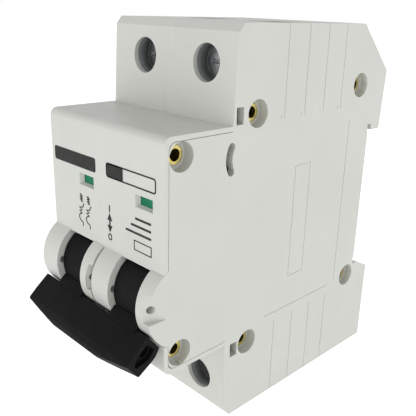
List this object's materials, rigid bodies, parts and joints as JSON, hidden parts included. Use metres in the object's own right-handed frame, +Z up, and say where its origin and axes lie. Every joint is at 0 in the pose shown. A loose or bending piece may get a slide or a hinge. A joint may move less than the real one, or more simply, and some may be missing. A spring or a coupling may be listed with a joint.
{
  "type": "miniature circuit breaker",
  "caption": "Modular rail-mounted circuit breaker with two tied black toggle handles, terminal screws, trip mechanism and sliding rail clips.",
  "frame": {"origin": "centre of the flat face that rests on the rail", "axes": "+X across the poles, +Y back towards the rail, +Z up"},
  "size_m": [0.036, 0.0763, 0.0806],
  "materials": {
    "casing": "fine satin moulded thermoset",
    "black_plastic": "satin black",
    "brown_plastic": "moulded",
    "white_plastic": "moulded",
    "brass": "bright, lightly scratched",
    "steel": "bright zinc plated",
    "iron": "dull iron",
    "spring_steel": "drawn wire",
    "copper": "bare copper",
    "silver": "silver contact",
    "fibre": "pressed fibre board",
    "indicator": "green with a red upper half"
  },
  "bodies": {
    "casing": {"pole_1_base": "casing", "pole_1_cover": "casing", "pole_2_base": "casing", "pole_2_cover": "casing", "casing_rivets": "brass", "handle_pivot_pins": "steel", "handle_return_springs": "spring_steel", "carrier_pins": "steel", "contact_springs": "spring_steel", "fixed_contacts": "copper", "fixed_contact_tips": "silver", "arc_chute_plates": "iron", "arc_chute_walls": "fibre", "lower_arc_runners": "copper", "trip_coils": "copper", "coil_bobbins": "white_plastic", "coil_yokes": "iron", "fixed_cores": "iron", "plunger_springs": "spring_steel", "trip_pivot_pins": "steel", "bimetal_strips": "steel", "bimetal_brackets": "copper", "calibration_screws": "steel", "flexible_braids": "copper", "upper_terminal_straps": "copper", "clip_spring_1": "spring_steel", "clip_spring_2": "spring_steel"},
    "handle": {"handle_toggle_1": "black_plastic", "handle_toggle_2": "black_plastic", "handle_tie_bar": "black_plastic"},
    "trip_bar": {"trip_lever_1": "white_plastic", "trip_lever_2": "white_plastic", "common_trip_pin": "steel"},
    "link_1": {"u_link_1": "steel"},
    "contact_arm_1": {"contact_carrier_1": "brown_plastic", "moving_contact_1": "copper", "moving_contact_tip_1": "silver", "latch_1": "steel"},
    "plunger_1": {"plunger_1": "iron"},
    "indicator_1": {"indicator_flag_1": "indicator"},
    "rail_clip_1": {"rail_clip_1": "white_plastic"},
    "upper_cage_1": {"upper_cage_1": "steel"},
    "upper_screw_1": {"upper_screw_1": "steel"},
    "lower_cage_1": {"lower_cage_1": "steel"},
    "lower_screw_1": {"lower_screw_1": "steel"},
    "link_2": {"u_link_2": "steel"},
    "contact_arm_2": {"contact_carrier_2": "brown_plastic", "moving_contact_2": "copper", "moving_contact_tip_2": "silver", "latch_2": "steel"},
    "plunger_2": {"plunger_2": "iron"},
    "indicator_2": {"indicator_flag_2": "indicator"},
    "rail_clip_2": {"rail_clip_2": "white_plastic"},
    "upper_cage_2": {"upper_cage_2": "steel"},
    "upper_screw_2": {"upper_screw_2": "steel"},
    "lower_cage_2": {"lower_cage_2": "steel"},
    "lower_screw_2": {"lower_screw_2": "steel"}
  },
  "joints": [
    {"name": "handle_turn", "type": "hinge", "parent": "casing", "child": "handle", "pos_m": [0, -0.0567, -0.009], "axis": [-1, 0, 0], "range_deg": [0, 75]},
    {"name": "trip_bar_turn", "type": "hinge", "parent": "casing", "child": "trip_bar", "pos_m": [0, -0.0417, 0.0164], "axis": [-1, 0, 0], "range_deg": [0, 12], "stiffness_Nm_per_rad": 0.01, "springref_deg": -2.86},
    {"name": "link_1_turn", "type": "hinge", "parent": "handle", "child": "link_1", "pos_m": [0, -0.05889, -0.01172], "axis": [1, 0, 0], "range_deg": [0, 27.6]},
    {"name": "contact_1_turn", "type": "hinge", "parent": "casing", "child": "contact_arm_1", "pos_m": [0, -0.0455, -0.00953], "axis": [1, 0, 0], "range_deg": [0, 24.1]},
    {"name": "indicator_1_slide", "type": "slide", "parent": "casing", "child": "indicator_1", "axis": [0, 0, -1], "range_m": [0, 0.0037]},
    {"name": "plunger_1_slide", "type": "slide", "parent": "casing", "child": "plunger_1", "axis": [0, -1, 0], "range_m": [0, 0.0015], "stiffness_N_per_m": 60, "springref_m": -0.002},
    {"name": "rail_clip_1_slide", "type": "slide", "parent": "casing", "child": "rail_clip_1", "axis": [0, 0, -1], "range_m": [0, 0.003], "stiffness_N_per_m": 800, "springref_m": -0.002, "deforming": ["clip_spring_1"]},
    {"name": "upper_screw_1_turn", "type": "hinge", "parent": "casing", "child": "upper_screw_1", "pos_m": [-0.008, -0.04, 0.033], "axis": [0, 1, 0], "range_deg": [0, 1800]},
    {"name": "upper_cage_1_slide", "type": "slide", "parent": "casing", "child": "upper_cage_1", "axis": [0, -1, 0], "range_m": [0, 0.004]},
    {"name": "lower_screw_1_turn", "type": "hinge", "parent": "casing", "child": "lower_screw_1", "pos_m": [-0.008, -0.04, -0.033], "axis": [0, 1, 0], "range_deg": [0, 1800]},
    {"name": "lower_cage_1_slide", "type": "slide", "parent": "casing", "child": "lower_cage_1", "axis": [0, -1, 0], "range_m": [0, 0.004]},
    {"name": "link_2_turn", "type": "hinge", "parent": "handle", "child": "link_2", "pos_m": [0, -0.05889, -0.01172], "axis": [1, 0, 0], "range_deg": [0, 27.6]},
    {"name": "contact_2_turn", "type": "hinge", "parent": "casing", "child": "contact_arm_2", "pos_m": [0, -0.0455, -0.00953], "axis": [1, 0, 0], "range_deg": [0, 24.1]},
    {"name": "indicator_2_slide", "type": "slide", "parent": "casing", "child": "indicator_2", "axis": [0, 0, -1], "range_m": [0, 0.0037]},
    {"name": "plunger_2_slide", "type": "slide", "parent": "casing", "child": "plunger_2", "axis": [0, -1, 0], "range_m": [0, 0.0015], "stiffness_N_per_m": 60, "springref_m": -0.002},
    {"name": "rail_clip_2_slide", "type": "slide", "parent": "casing", "child": "rail_clip_2", "axis": [0, 0, -1], "range_m": [0, 0.003], "stiffness_N_per_m": 800, "springref_m": -0.002, "deforming": ["clip_spring_2"]},
    {"name": "upper_screw_2_turn", "type": "hinge", "parent": "casing", "child": "upper_screw_2", "pos_m": [0.01, -0.04, 0.033], "axis": [0, 1, 0], "range_deg": [0, 1800]},
    {"name": "upper_cage_2_slide", "type": "slide", "parent": "casing", "child": "upper_cage_2", "axis": [0, -1, 0], "range_m": [0, 0.004]},
    {"name": "lower_screw_2_turn", "type": "hinge", "parent": "casing", "child": "lower_screw_2", "pos_m": [0.01, -0.04, -0.033], "axis": [0, 1, 0], "range_deg": [0, 1800]},
    {"name": "lower_cage_2_slide", "type": "slide", "parent": "casing", "child": "lower_cage_2", "axis": [0, -1, 0], "range_m": [0, 0.004]}
  ],
  "couplings": [
    {"joint": "link_1_turn", "follows": "handle_turn", "ratio": 0.36368},
    {"joint": "contact_1_turn", "follows": "handle_turn", "ratio": 0.32051},
    {"joint": "indicator_1_slide", "follows": "handle_turn", "m_per_rad": 0.00282},
    {"joint": "upper_screw_1_turn", "follows": "upper_cage_1_slide", "rad_per_m": 7853.9},
    {"joint": "lower_screw_1_turn", "follows": "lower_cage_1_slide", "rad_per_m": 7853.9},
    {"joint": "link_2_turn", "follows": "handle_turn", "ratio": 0.36368},
    {"joint": "contact_2_turn", "follows": "handle_turn", "ratio": 0.32051},
    {"joint": "indicator_2_slide", "follows": "handle_turn", "m_per_rad": 0.00282},
    {"joint": "upper_screw_2_turn", "follows": "upper_cage_2_slide", "rad_per_m": 7853.9},
    {"joint": "lower_screw_2_turn", "follows": "lower_cage_2_slide", "rad_per_m": 7853.9}
  ]
}
